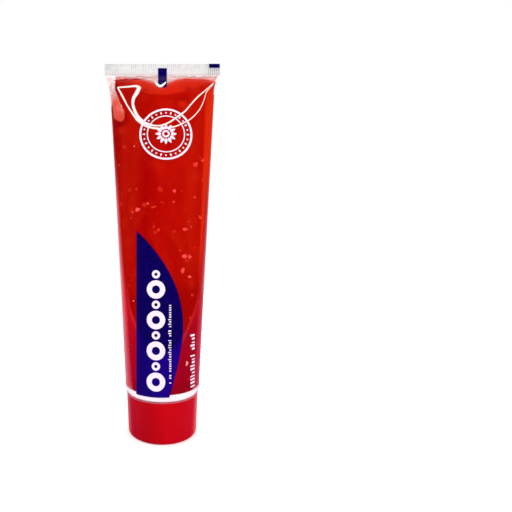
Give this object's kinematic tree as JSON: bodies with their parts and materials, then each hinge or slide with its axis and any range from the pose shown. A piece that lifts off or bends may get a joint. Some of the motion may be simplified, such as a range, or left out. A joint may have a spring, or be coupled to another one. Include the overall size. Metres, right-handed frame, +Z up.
{
  "type": "toothpaste tube",
  "caption": "Clear squeeze tube full of red gel, crimped flat at the top, standing on its round red screw cap.",
  "frame": {"origin": "centre of the cap's flat base, which the tube stands on", "axes": "+Z up, from the cap to the crimped seal; +X along the seal's width; the printed front faces -Y"},
  "size_m": [0.055, 0.0353, 0.1736],
  "materials": {
    "clear_film": "gloss",
    "white_plastic": "satin",
    "red_plastic": "satin",
    "red_gel": "gloss",
    "navy_ink": "gloss",
    "white_ink": "gloss"
  },
  "bodies": {
    "cap": {"screw_cap": "red_plastic"},
    "tube": {"tube_sleeve": "clear_film", "tube_head": "white_plastic", "red_gel": "red_gel", "panel_print": "navy_ink", "eye_marks": "navy_ink", "front_print": "white_ink", "back_print": "white_ink"}
  },
  "joints": [
    {"name": "tube_lift", "type": "slide", "parent": "cap", "child": "tube", "axis": [0, 0, 1], "range_m": [0, 0.03]}
  ]
}
